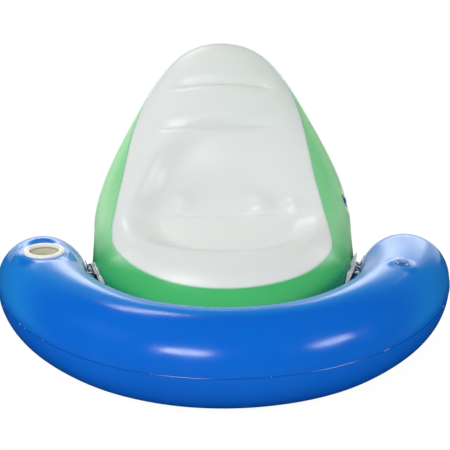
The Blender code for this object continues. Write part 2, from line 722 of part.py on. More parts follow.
def seat_valve_matrix(sheet):
    """The seat's valve rests on the green sheet, as low as the film round it lets its flange lie."""
    across = length_to_disk(SEAT_VALVE_SHARE * SEAT_LENGTH)
    reach = rim_place(math.radians(SEAT_VALVE_DEGREES), 0.0)[0]
    aside = math.sqrt(reach * reach - across * across)
    top = SEAT_VALVE_DEGREES > 0.0
    outward = -seat_inward(across, aside, top)
    film = surface_of(sheet)
    start = seat_point(across, aside, top) + outward * VALVE_FLANGE_RADIUS
    middle, normal = film.ray_cast(start, -outward)[:2]
    place = upright(middle, normal, Vector((0.0, 1.0, 0.0)))
    turns = [math.tau * i / SMALL_FACETS for i in range(SMALL_FACETS)]
    ring = [place @ (Vector((math.cos(turn), math.sin(turn), 1.0)) * VALVE_FLANGE_RADIUS) for turn in turns]
    rise = max((film.ray_cast(point, -normal)[0] - middle).dot(normal) for point in ring)
    return Matrix.Translation(normal * max(rise, 0.0)) @ place


def chair_middle():
    """Half way from the front of the tube to the farthest point of the back."""
    places = [-i / REACH_SAMPLES for i in range(REACH_SAMPLES)]
    rear = max(max(seat_point(across, 0.0, top).y for top in (True, False)) for across in places)
    return (rear - TUBE_RADIUS) / 2.0


def build():
    clear_scene()
    blue = vinyl("blue_vinyl", (0.0, 0.13, 0.68), 0.22)
    white = vinyl("white_vinyl", (0.80, 0.81, 0.81), 0.3)
    green = vinyl("green_vinyl", (0.10, 0.52, 0.20), 0.28)
    ivory = vinyl("ivory_vinyl", (0.86, 0.85, 0.80), 0.4)
    clear = vinyl("clear_vinyl", (0.55, 0.68, 0.78), 0.15)
    chair = add_empty("chair", None, Matrix.Translation((0.0, -chair_middle(), 0.0)))

    upper = tube_upper_panel(blue, chair)
    tube_lower_panel(blue, chair)
    weld_flanges(blue, white, chair)
    corner_tabs(blue, chair)
    cup = add_empty("cup_place", chair, cup_matrix())
    cup_holder(ivory, ivory, clear, cup)
    cup_hole = round_cutter("cup_hole", CUP_RIM_RADIUS + CLEARANCE, CUP_RIM_RADIUS, ROUND_FACETS, cup)
    use_boolean(upper, cup_hole, "DIFFERENCE")
    air_valve("tube_valve", tube_valve_matrix(), clear, chair, upper)

    white_sheet = seat_top_panel(white, chair)
    under = seat_bottom_panel(green, chair)
    names = ("seat_front_web", "seat_rear_web", "lumbar_web", "headrest_web")
    for name, crease in zip(names, CREASES):
        seat_web(name, crease, clear, chair, white_sheet, under)
    air_valve("seat_valve", seat_valve_matrix(under), clear, chair, under)


build()
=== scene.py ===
import math

import bpy
from mathutils import Matrix, Vector, kdtree, noise


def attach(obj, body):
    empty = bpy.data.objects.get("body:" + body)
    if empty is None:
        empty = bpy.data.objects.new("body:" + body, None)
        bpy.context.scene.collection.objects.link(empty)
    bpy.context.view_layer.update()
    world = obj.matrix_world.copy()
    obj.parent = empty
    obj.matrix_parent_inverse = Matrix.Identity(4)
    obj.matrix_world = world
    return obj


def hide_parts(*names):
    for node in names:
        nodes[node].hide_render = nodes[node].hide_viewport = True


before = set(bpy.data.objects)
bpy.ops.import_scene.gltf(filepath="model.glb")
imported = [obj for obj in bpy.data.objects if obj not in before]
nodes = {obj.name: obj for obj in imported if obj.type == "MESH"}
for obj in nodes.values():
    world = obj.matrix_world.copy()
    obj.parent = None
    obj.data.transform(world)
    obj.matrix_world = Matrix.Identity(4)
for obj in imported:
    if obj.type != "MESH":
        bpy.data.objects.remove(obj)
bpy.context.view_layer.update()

bpy.context.scene.view_settings.view_transform = "Standard"

# The camera stands in front of the chair, a little above head height, and looks slightly down.
# Its place and its long lens were worked out from the outlines of the chair.
bpy.ops.object.camera_add(location=(-0.07424, -3.78022, 1.632),
                          rotation=(math.pi / 2 - 0.341, 0.0, -0.02))
camera = bpy.context.object
camera.data.sensor_width = 36.0
camera.data.lens = 128.29
bpy.context.scene.camera = camera

# The studio is plain white wherever it is seen, straight on, in gloss or through a clear film.
# Its light on the chair is even and lower, so that the pale film keeps its tone.
STUDIO_LIGHT = 0.515


def feed(tree, term, socket):
    """Links another node's output to a socket, or sets the socket to a plain value."""
    if isinstance(term, bpy.types.NodeSocket):
        tree.links.new(term, socket)
    else:
        socket.default_value = term


def calculate(tree, operation, *terms):
    node = tree.nodes.new("ShaderNodeMath")
    node.operation = operation
    for term, socket in zip(terms, node.inputs):
        feed(tree, term, socket)
    return node.outputs["Value"]


def ramp(tree, value, low, high, at_low=0.0, at_high=1.0, smooth=True):
    """Goes from at_low to at_high while the value goes from low to high."""
    node = tree.nodes.new("ShaderNodeMapRange")
    node.interpolation_type = "SMOOTHSTEP" if smooth else "LINEAR"
    for term, name in ((value, "Value"), (low, "From Min"), (high, "From Max"), (at_low, "To Min"),
                       (at_high, "To Max")):
        feed(tree, term, node.inputs[name])
    return node.outputs["Result"]


def seen_directly(tree):
    """1 for a ray from the camera, from gloss or through a clear film, 0 for light on a surface."""
    rays = tree.nodes.new("ShaderNodeLightPath").outputs
    seen = calculate(tree, "MAXIMUM", rays["Is Camera Ray"], rays["Is Glossy Ray"])
    return calculate(tree, "MAXIMUM", seen, rays["Is Transmission Ray"])


studio = bpy.data.worlds.new("studio")
studio.use_nodes = True
studio.cycles.sampling_method = "NONE"
bpy.context.scene.world = studio
tree = studio.node_tree
tree.nodes.clear()
glow = tree.nodes.new("ShaderNodeBackground")
glow.inputs["Color"].default_value = (1.0, 1.0, 1.0, 1.0)
world_out = tree.nodes.new("ShaderNodeOutputWorld")
strength = ramp(tree, seen_directly(tree), 0.0, 1.0, STUDIO_LIGHT, 1.0, smooth=False)
tree.links.new(strength, glow.inputs["Strength"])
tree.links.new(glow.outputs["Background"], world_out.inputs["Surface"])

# Two small soft boxes stand in front of the chair, one on each side, and make its bright highlights.
# A third hangs behind its left arm, a wide one stands low behind it, and the left wall fills it in.
# Each row has a lamp's turn and rise in degrees, its distance, its width and height, and its power.
LAMP_TARGET = Vector((0.0, -0.1, 0.2))
LAMPS = (("left_box", -22.0, 27.0, 2.6, 1.0, 0.42, 22.0),
         ("right_box", 57.0, 23.0, 2.6, 0.88, 0.40, 13.0),
         ("left_back_box", -154.0, 53.0, 2.6, 0.75, 0.24, 7.0),
         ("back_box", 180.0, 16.0, 3.5, 4.2, 0.9, 28.0),
         ("left_fill", -76.0, 34.0, 3.0, 1.6, 1.2, 17.0))
for name, turn, rise, reach, width, height, power in LAMPS:
    flat = math.radians(turn)
    up = math.radians(rise)
    away = Vector((math.sin(flat) * math.cos(up), -math.cos(flat) * math.cos(up), math.sin(up)))
    bpy.ops.object.light_add(type="AREA", location=LAMP_TARGET + away * reach)
    box = bpy.context.object
    box.name = name
    box.rotation_euler = away.to_track_quat("Z", "Y").to_euler()
    box.data.shape = "RECTANGLE"
    box.data.size = width
    box.data.size_y = height
    box.data.energy = power
    box.visible_glossy = name != "left_fill"

# Dark cloth hangs round the sides and over the front of the studio, and only the film's gloss shows
# it. Behind the chair it leaves a low, wide opening, through which the white sweep is mirrored.
CLOTH_REACH = 5.0
CLOTH_FOOT = 0.0003
OPENING_LEFT = -32.0
OPENING_RIGHT = 36.0
OPENING_TOP = 25.0
OPENING_SLOPE = 0.2
bpy.ops.object.select_all(action="DESELECT")
bpy.ops.mesh.primitive_uv_sphere_add(segments=96, ring_count=48, radius=CLOTH_REACH)
cloth = bpy.context.object
cloth.name = "dark_studio_cloth"
bpy.ops.object.mode_set(mode="EDIT")
bpy.ops.mesh.select_all(action="DESELECT")
bpy.ops.object.mode_set(mode="OBJECT")
for face in cloth.data.polygons:
    sideways = math.degrees(math.atan2(face.center.x, face.center.y))
    rise = math.degrees(math.asin(face.center.z / face.center.length))
    top = OPENING_TOP + OPENING_SLOPE * max(sideways, 0.0)
    face.select = OPENING_LEFT < sideways < OPENING_RIGHT and rise < top
bpy.ops.object.mode_set(mode="EDIT")
bpy.ops.mesh.delete(type="FACE")
bpy.ops.object.mode_set(mode="OBJECT")
for vertex in cloth.data.vertices:
    if vertex.co.z < 0.0:
        vertex.co.z = CLOTH_FOOT
cloth.visible_camera = False
cloth.visible_diffuse = False
cloth.visible_transmission = False
cloth.visible_shadow = False
velvet = bpy.data.materials.new("dark_cloth")
velvet.use_nodes = True
shader = velvet.node_tree.nodes["Principled BSDF"]
shader.inputs["Base Color"].default_value = (0.01, 0.01, 0.012, 1.0)
shader.inputs["Roughness"].default_value = 1.0
shader.inputs["Specular IOR Level"].default_value = 0.0
cloth.data.materials.append(velvet)

# The floor is a pale painted board. It takes the chair's soft shadow and otherwise reads as white.
# Most of what a direct ray sees of it is its own even glow, and the rest is the shadowed paint.
FLOOR_SHARE = 0.91
FLOOR_GLOW = 1.06
bpy.ops.object.select_all(action="DESELECT")
bpy.ops.mesh.primitive_plane_add(size=40.0, location=(0.0, 0.0, -0.0004))
board = bpy.context.object
board.name = "studio_floor"
paint = bpy.data.materials.new("floor_paint")
paint.use_nodes = True
tree = paint.node_tree
tree.nodes.clear()
matte = tree.nodes.new("ShaderNodeBsdfDiffuse")
matte.inputs["Color"].default_value = (0.74, 0.74, 0.74, 1.0)
white = tree.nodes.new("ShaderNodeEmission")
white.inputs["Color"].default_value = (1.0, 1.0, 1.0, 1.0)
white.inputs["Strength"].default_value = FLOOR_GLOW
mix = tree.nodes.new("ShaderNodeMixShader")
paint_out = tree.nodes.new("ShaderNodeOutputMaterial")
share = calculate(tree, "MULTIPLY", seen_directly(tree), FLOOR_SHARE)
tree.links.new(share, mix.inputs["Fac"])
tree.links.new(matte.outputs["BSDF"], mix.inputs[1])
tree.links.new(white.outputs["Emission"], mix.inputs[2])
tree.links.new(mix.outputs["Shader"], paint_out.inputs["Surface"])
board.data.materials.append(paint)

# The air tube is one long bag of glossy blue vinyl film, bent round the front of the seat, with a
# round end on each arm. An upper and a lower sheet are welded along its inner and outer equator.
TUBE_RADIUS = 0.116
TUBE_LEVEL = 0.1155
FRONT_BEND = 0.407
FRONT_ANGLE = math.radians(43.4)
FRONT_STEPS = 60
ARM_BEND = 0.603
ARM_ANGLE = math.radians(40.7)
ARM_STEPS = 80
DOME_STEPS = 18
MIDDLE_Y = -0.41715
FILM = 0.0012
MERGE_GAP = 0.00002
SEAM_RISE = 0.0011
SEAM_CUTS = (-0.0016, -0.0007, 0.0007, 0.0016)
CUP = Vector((-0.45213, -0.00658, 0.2255))
CUP_RING_RADIUS = 0.0525
CUP_DENT = 0.034
front_centre = Vector((0.0, MIDDLE_Y + FRONT_BEND, TUBE_LEVEL))
arm_centre = Vector(((FRONT_BEND - ARM_BEND) * math.sin(FRONT_ANGLE),
                     MIDDLE_Y + FRONT_BEND - (FRONT_BEND - ARM_BEND) * math.cos(FRONT_ANGLE),
                     TUBE_LEVEL))
arm_turn = FRONT_ANGLE + ARM_ANGLE


def ease(low, high, value):
    step = min(max((value - low) / (high - low), 0.0), 1.0)
    return step * step * (3.0 - 2.0 * step)


def pick(piece):
    bpy.ops.object.select_all(action="DESELECT")
    piece.select_set(True)
    bpy.context.view_layer.objects.active = piece


def start_edit(piece):
    pick(piece)
    bpy.ops.object.mode_set(mode="EDIT")


def apply_modifier(piece, kind, **settings):
    pick(piece)
    modifier = piece.modifiers.new(kind.title(), kind)
    for key, value in settings.items():
        setattr(modifier, key, value)
    bpy.ops.object.modifier_apply(modifier=modifier.name)


def tidy_mesh(piece, distance):
    start_edit(piece)
    bpy.ops.mesh.select_all(action="SELECT")
    bpy.ops.mesh.remove_doubles(threshold=distance)
    bpy.ops.mesh.normals_make_consistent(inside=False)
    bpy.ops.mesh.select_all(action="DESELECT")
    bpy.ops.object.mode_set(mode="OBJECT")


def smooth_shade(piece, degrees):
    pick(piece)
    bpy.ops.object.shade_smooth_by_angle(angle=math.radians(degrees))


def thicken(piece, thickness):
    apply_modifier(piece, "SOLIDIFY", thickness=thickness, offset=-1.0, use_rim=True)
    smooth_shade(piece, 50.0)


def join_to(piece, others):
    bpy.ops.object.select_all(action="DESELECT")
    for other in (*others, piece):
        other.select_set(True)
    bpy.context.view_layer.objects.active = piece
    bpy.ops.object.join()


def cut_hole(piece, place, radius, depth):
    bpy.ops.object.select_all(action="DESELECT")
    bpy.ops.mesh.primitive_cylinder_add(vertices=64, radius=radius, depth=depth)
    cutter = bpy.context.object
    cutter.data.transform(place)
    apply_modifier(piece, "BOOLEAN", operation="DIFFERENCE", solver="EXACT", object=cutter)
    bpy.data.objects.remove(cutter)


def tube_middle(point):
    """Nearest place on the tube's middle line."""
    side = -1.0 if point.x < 0.0 else 1.0
    flat = Vector((abs(point.x), point.y, TUBE_LEVEL))
    from_front = flat - front_centre
    turn = math.atan2(from_front.x, -from_front.y)
    if turn <= FRONT_ANGLE:
        middle = front_centre + Vector((math.sin(turn), -math.cos(turn), 0.0)) * FRONT_BEND
    else:
        from_arm = flat - arm_centre
        turn = min(math.atan2(from_arm.x, -from_arm.y), arm_turn)
        middle = arm_centre + Vector((math.sin(turn), -math.cos(turn), 0.0)) * ARM_BEND
    middle.x *= side
    return middle


bpy.ops.object.select_all(action="DESELECT")
bpy.ops.mesh.primitive_circle_add(vertices=112, radius=TUBE_RADIUS, fill_type="NOTHING",
                                  location=(0.0, MIDDLE_Y, TUBE_LEVEL),
                                  rotation=(0.0, math.pi / 2, 0.0))
tube = bpy.context.object
tube.name = "tube_upper_film"
bpy.ops.object.transform_apply(location=True, rotation=True, scale=True)
start_edit(tube)
bpy.ops.mesh.select_all(action="SELECT")
bpy.ops.mesh.spin(steps=FRONT_STEPS, angle=FRONT_ANGLE, center=front_centre, axis=(0.0, 0.0, 1.0))
left_centre = Vector((-arm_centre.x, arm_centre.y, TUBE_LEVEL))
bpy.ops.mesh.spin(steps=ARM_STEPS, angle=ARM_ANGLE, center=left_centre, axis=(0.0, 0.0, 1.0))
ahead = Vector((-math.cos(arm_turn), math.sin(arm_turn), 0.0))
arm_end = left_centre + Vector((-math.sin(arm_turn), -math.cos(arm_turn), 0.0)) * ARM_BEND
for step in range(1, DOME_STEPS + 1):
    near = math.pi / 2 * (step - 1) / DOME_STEPS
    far = math.pi / 2 * step / DOME_STEPS
    reach = TUBE_RADIUS * math.sin(far)
    push = ahead * (reach - TUBE_RADIUS * math.sin(near))
    bpy.ops.mesh.extrude_region_move(TRANSFORM_OT_translate={"value": push})
    if step < DOME_STEPS:
        shrink = math.cos(far) / math.cos(near)
        bpy.ops.transform.resize(value=(shrink, shrink, shrink), center_override=arm_end + ahead * reach)
bpy.ops.mesh.merge(type="CENTER")
for height in SEAM_CUTS:
    bpy.ops.mesh.select_all(action="SELECT")
    bpy.ops.mesh.bisect(plane_co=(0.0, 0.0, TUBE_LEVEL + height), plane_no=(0.0, 0.0, 1.0))
bpy.ops.object.mode_set(mode="OBJECT")
apply_modifier(tube, "MIRROR", use_axis=(True, False, False), use_mirror_merge=True,
               merge_threshold=MERGE_GAP)
for vertex in tube.data.vertices:
    point = vertex.co
    level = abs(point.z - TUBE_LEVEL)
    out = (point - tube_middle(point)).normalized()
    if level < 0.0003:
        point += out * SEAM_RISE
    elif level > 0.003:
        pucker = noise.noise(Vector((point.x * 70.0, point.y * 70.0, 2.0))) * math.exp(-level / 0.010)
        point += out * (0.0005 * noise.noise(point * 5.0) + 0.0007 * pucker)
    if point.z > TUBE_LEVEL:
        away = math.hypot(point.x - CUP.x, point.y - CUP.y)
        pull = 1.0 - ease(CUP_RING_RADIUS, CUP_RING_RADIUS + CUP_DENT, away)
        point.z += (CUP.z - point.z) * pull
    vertex.co.z = max(vertex.co.z, 0.0)
tidy_mesh(tube, MERGE_GAP)
for face in tube.data.polygons:
    face.select = face.center.z < TUBE_LEVEL
start_edit(tube)
bpy.ops.mesh.separate(type="SELECTED")
bpy.ops.object.mode_set(mode="OBJECT")
tube_lower = next(piece for piece in bpy.context.selected_objects if piece != tube)
tube_lower.name = "tube_lower_film"

# Every film has a faint cloudiness, a fine calendered grain and slow waves under its gloss. All the
# films share this one effect, and each one sets its own colours, gloss, grain and waves.
MIX_BELOW = 6
MIX_ABOVE = 7
MIX_COLOUR = 2


def mottle(tree, place, scale, detail):
    node = tree.nodes.new("ShaderNodeTexNoise")
    for term, name in ((place, "Vector"), (scale, "Scale"), (detail, "Detail")):
        feed(tree, term, node.inputs[name])
    return node.outputs["Fac"]


skin = bpy.data.node_groups.new("film_skin", "ShaderNodeTree")
skin.interface.new_socket("Place", in_out="INPUT", socket_type="NodeSocketVector")
for socket, start in (("Low gloss", 0.2), ("High gloss", 0.3), ("Grain size", 420.0), ("Wave", 0.3)):
    skin.interface.new_socket(socket, in_out="INPUT", socket_type="NodeSocketFloat").default_value = start
for socket in ("Tone", "Roughness", "Height"):
    skin.interface.new_socket(socket, in_out="OUTPUT", socket_type="NodeSocketFloat")
given = skin.nodes.new("NodeGroupInput").outputs
result = skin.nodes.new("NodeGroupOutput").inputs
cloud = mottle(skin, given["Place"], 3.5, 3.0)
smudge = mottle(skin, given["Place"], 17.0, 4.0)
grain = mottle(skin, given["Place"], given["Grain size"], 2.0)
wave = mottle(skin, given["Place"], 26.0, 1.0)
gloss = ramp(skin, smudge, 0.35, 0.7, given["Low gloss"], given["High gloss"], smooth=False)
height = calculate(skin, "MULTIPLY_ADD", wave, given["Wave"], grain)
for term, name in ((cloud, "Tone"), (gloss, "Roughness"), (height, "Height")):
    skin.links.new(term, result[name])


def tint_over(tree, shader, below, colour, mask):
    """Lays one more colour over the film where the mask is white."""
    layer = tree.nodes.new("ShaderNodeMix")
    layer.data_type = "RGBA"
    feed(tree, mask, layer.inputs["Factor"])
    feed(tree, below, layer.inputs[MIX_BELOW])
    feed(tree, (*colour, 1.0), layer.inputs[MIX_ABOVE])
    tree.links.new(layer.outputs[MIX_COLOUR], shader.inputs["Base Color"])
    return layer.outputs[MIX_COLOUR]


def film_material(name, deep, light, low_gloss, high_gloss, grain_size, bump_strength, wave_size):
    """A film's material; returns it with what a further tint needs: tree, shader, tint and place."""
    material = bpy.data.materials.new(name)
    material.use_nodes = True
    tree = material.node_tree
    shader = tree.nodes["Principled BSDF"]
    place = tree.nodes.new("ShaderNodeTexCoord").outputs["Object"]
    surface = tree.nodes.new("ShaderNodeGroup")
    surface.node_tree = skin
    for term, socket in ((place, "Place"), (low_gloss, "Low gloss"), (high_gloss, "High gloss"),
                         (grain_size, "Grain size"), (wave_size, "Wave")):
        feed(tree, term, surface.inputs[socket])
    bump = tree.nodes.new("ShaderNodeBump")
    bump.inputs["Strength"].default_value = bump_strength
    bump.inputs["Distance"].default_value = 0.0006
    tree.links.new(surface.outputs["Height"], bump.inputs["Height"])
    tree.links.new(bump.outputs["Normal"], shader.inputs["Normal"])
    tree.links.new(surface.outputs["Roughness"], shader.inputs["Roughness"])
    tint = tint_over(tree, shader, (*deep, 1.0), light, surface.outputs["Tone"])
    return material, tree, shader, tint, place


def turned_away(tree):
    """0 where the surface faces the viewer, and 1 where it turns away."""
    node = tree.nodes.new("ShaderNodeLayerWeight")
    node.inputs["Blend"].default_value = 0.5
    return node.outputs["Facing"]


def separate(tree, vector):
    node = tree.nodes.new("ShaderNodeSeparateXYZ")
    tree.links.new(vector, node.inputs["Vector"])
    return node.outputs


# The tube's blue film gets a painted sheen, a lighter blue where it turns away from view above the weld, and a
# dark weld seam with small painted glints.
# Both sheets are given their thickness here, and the upper one its hole for the cup holder.
blue, tree, shader, tint, place = film_material("blue_film", (0.0, 0.112, 0.57), (0.0, 0.134, 0.63),
                                                0.18, 0.24, 420.0, 0.05, 0.25)
shader.inputs["Specular IOR Level"].default_value = 0.45
where = separate(tree, place)
# Painted sheen: a lighter, greener blue where the film turns away from view, only above the weld.
painted_blue_sheen = calculate(tree, "MULTIPLY", ramp(tree, turned_away(tree), 0.36, 0.62, 0.0, 0.85),
                 ramp(tree, where["Z"], 0.11, 0.15))
tint = tint_over(tree, shader, tint, (0.01, 0.24, 0.70), painted_blue_sheen)
seam_gap = calculate(tree, "ABSOLUTE", calculate(tree, "SUBTRACT", where["Z"], TUBE_LEVEL))
seam = ramp(tree, seam_gap, 0.0004, 0.0013, 0.55, 0.0)
# Painted glints: small pale specks scattered along the dark weld seam.
painted_glint = ramp(tree, mottle(tree, place, 55.0, 2.0), 0.64, 0.68, smooth=False)
tint = tint_over(tree, shader, tint, (0.0, 0.03, 0.16), seam)
tint_over(tree, shader, tint, (0.75, 0.8, 0.88), calculate(tree, "MULTIPLY", painted_glint, seam))
thicken(tube, FILM)
thicken(tube_lower, FILM)
cut_hole(tube, Matrix.Translation(CUP), CUP_RING_RADIUS - 0.003, 0.04)
for piece, node in ((tube, "tube_upper_panel"), (tube_lower, "tube_lower_panel")):
    piece.data.materials.clear()
    piece.data.materials.append(blue)
    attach(piece, "chair")
    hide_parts(node)

# The seat is one big air pillow whose back bends up. Its top sheet is white, drawn down inside by
# welded webs that leave creases across the back and a tub to sit in, with a print edge of fine dots.
SEAT_LENGTH = 1.07
SEAT_FLOOR = 0.307
BACK_BEND = 0.35
BACK_LEAN = math.radians(60.0)
HEAD_THICKNESS = 0.075
HEAD_WIDTH = 0.174
SEAT_FULLNESS = 5.0
HEAD_FULLNESS = 9.0
WELD_GAP = 0.011
SEAT_FRONT = MIDDLE_Y + TUBE_RADIUS + WELD_GAP
SEAT_WIDEST = arm_centre.y - SEAT_FRONT
SEAT_FRONT_BEND = FRONT_BEND - TUBE_RADIUS - WELD_GAP
SEAT_SIDE_BEND = ARM_BEND - TUBE_RADIUS - WELD_GAP
SEAT_WIDTH = arm_centre.x + SEAT_SIDE_BEND
HEAD_LINE = 0.941
BACK_LINE = 0.821
FOLD_LINE = 0.549
BACK_CREASE = (0.013, 0.056, 0.022, 0.0012, 0.004)
FOLD_CREASE = (0.005, 0.045, 0.05, 0.0010, 0.0)
TUB_X = 0.012
TUB_ALONG = 0.58
TUB_DEPTH = 0.036
TUB_SHAPE = 2.3
BUMPS = ((-0.32, 0.596, 0.0120, 0.034), (0.29, 0.586, 0.0150, 0.036), (0.54, 0.582, 0.0145, 0.027))
SEAT_COLUMNS = 136
FRONT_ROWS = 70
BACK_ROWS = 130
CREASE_ROWS = 9
CREASE_STEP = 0.0019


def seat_spine(along):
    lean = min(max((along - SEAT_FLOOR) / BACK_BEND, 0.0), BACK_LEAN)
    beyond = max(along - SEAT_FLOOR - BACK_BEND * BACK_LEAN, 0.0)
    y = SEAT_FRONT + min(along, SEAT_FLOOR) + BACK_BEND * math.sin(lean) + beyond * math.cos(lean)
    z = TUBE_LEVEL + BACK_BEND * (1.0 - math.cos(lean)) + beyond * math.sin(lean)
    return y, z, lean


def seat_half_width(along):
    y = SEAT_FRONT + along
    if along <= SEAT_WIDEST:
        if y <= front_centre.y - SEAT_FRONT_BEND * math.cos(FRONT_ANGLE):
            return math.sqrt(max(SEAT_FRONT_BEND ** 2 - (front_centre.y - y) ** 2, 0.0))
        return arm_centre.x + math.sqrt(max(SEAT_SIDE_BEND ** 2 - (arm_centre.y - y) ** 2, 0.0))
    share = (along - SEAT_WIDEST) / (SEAT_LENGTH - SEAT_WIDEST)
    width = SEAT_WIDTH + (HEAD_WIDTH - SEAT_WIDTH) * ease(0.213, 1.01, share)
    return width * math.sqrt(max(1.0 - share ** HEAD_FULLNESS, 0.0))


def seat_along(across):
    if across >= 0.0:
        return SEAT_WIDEST * (1.0 - across)
    return SEAT_WIDEST - (SEAT_LENGTH - SEAT_WIDEST) * across


def crease(off, depth, above, below, notch, bulge):
    """How far the film is drawn in beside a weld line, off being the distance above the line.

    It also swells a little higher up, and has a narrow notch along the line itself."""
    soft = max(1.0 - (off / above if off > 0.0 else -off / below), 0.0) ** 2
    swell = bulge * math.exp(-((off - 0.036) / 0.028) ** 2)
    return depth * soft + notch * max(1.0 - abs(off) / 0.004, 0.0) - swell


def seat_relief(along, side):
    """Depth of the tub, the creases, the fold and its fine wrinkles, and a few soft bumps."""
    x = seat_half_width(along) * side
    reach = 0.325 if along < TUB_ALONG else 0.25
    half = 0.28 - 0.035 * ease(0.50, 0.68, along) if x < TUB_X else 0.262
    ring = (abs((x - TUB_X) / half) ** TUB_SHAPE
            + abs((along - TUB_ALONG) / reach) ** TUB_SHAPE) ** (1.0 / TUB_SHAPE)
    soft = ease(0.52, 0.70, along) * ease(-0.17, 0.03, x)
    depth = (TUB_DEPTH - 0.006 * soft) * (1.0 - ease(0.64 - 0.34 * soft, 1.02 + 0.12 * soft, ring))
    roll = ease(0.54, 0.66, along) * (1.0 - ease(-0.13, -0.02, x)) * (1.0 - ease(0.76, 0.98, abs(side)))
    depth -= 0.0075 * roll * math.exp(-((ring - 0.97) / 0.14) ** 2)
    fade = 1.0 - ease(0.5, 0.78, abs(side))
    depth += crease(along - (HEAD_LINE - 0.024 * side * side), *BACK_CREASE) * fade
    fade = 1.0 - ease(0.5, 0.74, abs(side)) if side < 0.0 else 1.0 - ease(0.1, 0.7, side)
    back_line = BACK_LINE - (0.016 * side * side if side < 0.0 else 0.0)
    depth += crease(along - back_line, *BACK_CREASE) * fade
    fade = 1.0 - ease(0.25, 0.55, abs(side))
    depth += crease(along - FOLD_LINE, *FOLD_CREASE) * fade
    wrinkled = (1.0 - ease(0.0, 0.045, abs(along - FOLD_LINE))) * (1.0 - ease(0.2, 0.45, abs(side + 0.05)))
    if wrinkled > 0.0:
        depth += 0.0022 * wrinkled * noise.noise(Vector((x * 34.0, along * 120.0, 0.5)))
    dent = math.hypot(x + 0.158, (along - 0.705) * 1.4) / 0.014
    depth += 0.0012 * max(1.0 - dent, 0.0) ** 2
    for bump_side, bump_along, rise, size in BUMPS:
        gap = math.hypot((side - bump_side) * seat_half_width(bump_along), along - bump_along) / size
        depth -= rise * math.exp(-gap * gap)
    return depth


def seat_point(across, aside, top):
    reach = min(math.hypot(across, aside), 1.0)
    chord = math.sqrt(max(1.0 - across * across, 0.0))
    side = min(max(aside / chord, -1.0), 1.0) if chord > 0.0 else 0.0
    along = seat_along(across)
    thin = ease(0.35, 0.85, along / SEAT_LENGTH)
    crown = TUBE_RADIUS + (HEAD_THICKNESS - TUBE_RADIUS) * thin
    crown *= math.sqrt(max(1.0 - reach ** SEAT_FULLNESS, 0.0))
    rise = crown - min(seat_relief(along, side), crown) if top else -crown
    y, z, lean = seat_spine(along)
    return Vector((seat_half_width(along) * side, y - rise * math.sin(lean),
                   max(z + rise * math.cos(lean), 0.0)))


def rim_place(latitude, bearing):
    reach = max(math.cos(latitude), 0.0) ** (2.0 / SEAT_FULLNESS)
    return reach * math.cos(bearing), reach * math.sin(bearing)


PRINT_HEIGHTS = ((-1.0, 3.0, 3.0), (-0.9, 3.5, 5.5), (-0.8, 7.0, 12.5), (-0.7, 16.0, 25.0),
                 (-0.6, 27.5, 37.5), (-0.5, 38.5, 47.0), (-0.39, 46.0, 53.5), (-0.25, 49.5, 56.5),
                 (-0.1, 46.9, 54.0), (0.0, 48.3, 52.7), (0.2, 51.2, 50.8), (0.37, 52.0, 50.5),
                 (0.6, 51.8, 50.0), (0.83, 50.8, 50.8), (1.0, 50.8, 50.8))


def print_latitude(across, right):
    """How high on the seat's rim the white print begins, on a smooth line through the table.

    A row of the table has a place from the head to the front, and degrees at the left and right."""
    column = 2 if right else 1
    last = len(PRINT_HEIGHTS) - 2
    i = min(max(sum(1 for row in PRINT_HEIGHTS if row[0] <= across) - 1, 0), last)
    near, far = PRINT_HEIGHTS[i], PRINT_HEIGHTS[i + 1]
    before, after = PRINT_HEIGHTS[max(i - 1, 0)], PRINT_HEIGHTS[min(i + 2, last + 1)]
    width = far[0] - near[0]
    share = min(max((across - near[0]) / width, 0.0), 1.0)
    slope = (far[column] - before[column]) / (far[0] - before[0]) * width
    far_slope = (after[column] - near[column]) / (after[0] - near[0]) * width
    degrees = (near[column] * (1.0 - share) ** 2 * (1.0 + 2.0 * share) + slope * share * (1.0 - share) ** 2
               + far[column] * share * share * (3.0 - 2.0 * share) - far_slope * share * share * (1.0 - share))
    return math.radians(degrees)


def print_aside(across, right):
    """How far from the seat's middle the white print ends."""
    reach = rim_place(print_latitude(across, right), 0.0)[0]
    chord = 1.0 - across * across
    if chord <= 0.0:
        return 0.0
    return math.sqrt(max(1.0 - (1.0 - reach * reach) / chord, 0.0)) * math.sqrt(chord)


front_reach = rim_place(print_latitude(1.0, True), 0.0)[0]
head_reach = rim_place(print_latitude(-1.0, True), 0.0)[0]
seat_rows = [front_reach * math.cos(math.pi / 2 * i / FRONT_ROWS) for i in range(FRONT_ROWS)]
seat_rows += [-head_reach * math.sin(math.pi / 2 * i / BACK_ROWS) for i in range(BACK_ROWS + 1)]
for line in (FOLD_LINE, BACK_LINE, HEAD_LINE):
    for i in range(-CREASE_ROWS, CREASE_ROWS + 1):
        seat_rows.append((SEAT_WIDEST - (line + i * CREASE_STEP)) / (SEAT_LENGTH - SEAT_WIDEST))
seat_rows = sorted(set(seat_rows), reverse=True)
right_edge = [(across, print_aside(across, True)) for across in seat_rows]
left_edge = [(across, -print_aside(across, False)) for across in seat_rows]
edge_places = right_edge + left_edge[-2:0:-1]
bpy.ops.object.select_all(action="DESELECT")
bpy.ops.mesh.primitive_grid_add(x_subdivisions=SEAT_COLUMNS, y_subdivisions=len(seat_rows) - 1, size=2.0)
seat_top = bpy.context.object
seat_top.name = "seat_white_sheet"
for vertex in seat_top.data.vertices:
    u = vertex.co.x
    row = round((vertex.co.y + 1.0) / 2.0 * (len(seat_rows) - 1))
    across, aside = right_edge[row] if u > 0.0 else left_edge[row]
    share = 0.6 * abs(u) + 0.4 * math.sin(math.pi / 2 * abs(u))
    vertex.co = seat_point(across, aside * share, True)
tidy_mesh(seat_top, MERGE_GAP)
if seat_top.data.polygons[len(seat_top.data.polygons) // 2].normal.z < 0.0:
    seat_top.data.flip_normals()

